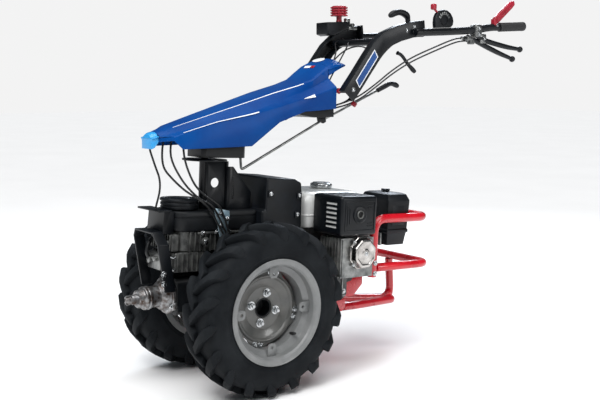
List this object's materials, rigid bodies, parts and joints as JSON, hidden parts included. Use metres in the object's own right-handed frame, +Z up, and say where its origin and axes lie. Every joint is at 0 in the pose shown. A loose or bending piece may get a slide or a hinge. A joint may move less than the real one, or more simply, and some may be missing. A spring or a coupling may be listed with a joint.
{
  "type": "walking tractor",
  "caption": "Two-wheeled walking tractor with lugged tyres, front power take-off, rear engine in a tubular guard, long cover on a turning column and a reversible handlebar.",
  "frame": {"origin": "the operator's hold on the handlebar: midway between the two grips, in the machine's centre plane, 1.225 m above the ground and 1.130 m behind the wheel axis", "axes": "+Z up, +X to the machine's left wheel, -Y towards the power take-off end, +Y towards the grips"},
  "size_m": [0.585, 1.5917, 1.3265],
  "materials": {
    "tyre": "moulded rubber, chevron tread",
    "rim_paint": "satin grey paint",
    "disc_paint": "satin dark grey paint",
    "black_paint": "satin black paint",
    "cast_black": "black painted casting",
    "cast_grey": "bare grey casting",
    "steel": "machined",
    "blue_cover": "gloss blue",
    "sky_cover": "gloss sky blue",
    "red_paint": "gloss red paint",
    "red_plastic": "satin red",
    "white_tank": "gloss white paint",
    "aluminium": "as cast",
    "black_plastic": "satin black",
    "rubber": "black rubber",
    "blue_steel": "zinc plated",
    "arm_paint": "satin black paint"
  },
  "bodies": {
    "chassis": {"air_cleaner": "black_plastic", "belt_cover": "black_plastic", "cable_front": "rubber", "cable_long": "rubber", "cable_middle": "rubber", "cable_short": "rubber", "column_gusset": "black_paint", "column_plate": "black_paint", "column_tube": "black_paint", "cylinder_head": "aluminium", "engine_block": "aluminium", "engine_mount": "red_paint", "filter_drum": "black_plastic", "front_bracket": "cast_grey", "fuel_tank": "white_tank", "gearbox": "cast_black", "guard_lower_hoop": "red_paint", "guard_skid": "red_paint", "guard_upper_hoop": "red_paint", "head_cover": "aluminium", "hydro_unit": "cast_black", "muffler_guard": "black_paint", "pto_guard": "black_paint", "pto_housing": "steel", "recoil_starter": "black_paint", "ribbed_casting": "cast_grey", "steel_bracket": "blue_steel", "tank_cap": "steel"},
    "wheel_left": {"tyre_left": "tyre", "rim_left": "rim_paint", "wheel_disc_left": "disc_paint", "wheel_hub_left": "cast_black"},
    "wheel_right": {"tyre_right": "tyre", "rim_right": "rim_paint", "wheel_disc_right": "disc_paint", "wheel_hub_right": "cast_black"},
    "pto": {"pto_shaft": "steel"},
    "steering_head": {"beam": "black_paint", "undertray": "black_plastic", "cover": "blue_cover", "cover_visor": "blue_cover", "nose_cap": "sky_cover", "shift_rod": "steel", "rod_handle": "black_plastic"},
    "handlebar": {"arm_left": "arm_paint", "arm_right": "arm_paint", "handle_tube_left": "arm_paint", "handle_tube_right": "arm_paint", "grip_left": "rubber", "grip_right": "rubber", "cross_tube": "arm_paint", "pivot_tube": "black_paint", "hand_lever_upper": "black_plastic", "hand_lever_lower": "black_plastic", "safety_lever": "red_plastic", "selector_lever": "black_plastic", "speed_quadrant": "black_plastic", "control_box": "black_plastic", "ribbed_knob": "red_plastic"}
  },
  "joints": [
    {"name": "wheel_left_spin", "type": "hinge", "parent": "chassis", "child": "wheel_left", "pos_m": [0.22, -1.13, -0.94], "axis": [1, 0, 0], "continuous": true},
    {"name": "wheel_right_spin", "type": "hinge", "parent": "chassis", "child": "wheel_right", "pos_m": [-0.22, -1.13, -0.94], "axis": [1, 0, 0], "continuous": true},
    {"name": "pto_shaft_spin", "type": "hinge", "parent": "chassis", "child": "pto", "pos_m": [0, -1.43, -0.9], "axis": [0, -1, 0], "continuous": true},
    {"name": "handlebar_swivel", "type": "hinge", "parent": "chassis", "child": "steering_head", "pos_m": [0, -1.21489, -0.41984], "axis": [0, 0.0523, 0.9986], "range_deg": [-180, 180], "deforming": ["cable_front", "cable_long", "cable_middle", "cable_short"]},
    {"name": "handlebar_height", "type": "hinge", "parent": "steering_head", "child": "handlebar", "pos_m": [0, -0.714, -0.24], "axis": [1, 0, 0], "range_deg": [-12, 20]}
  ]
}
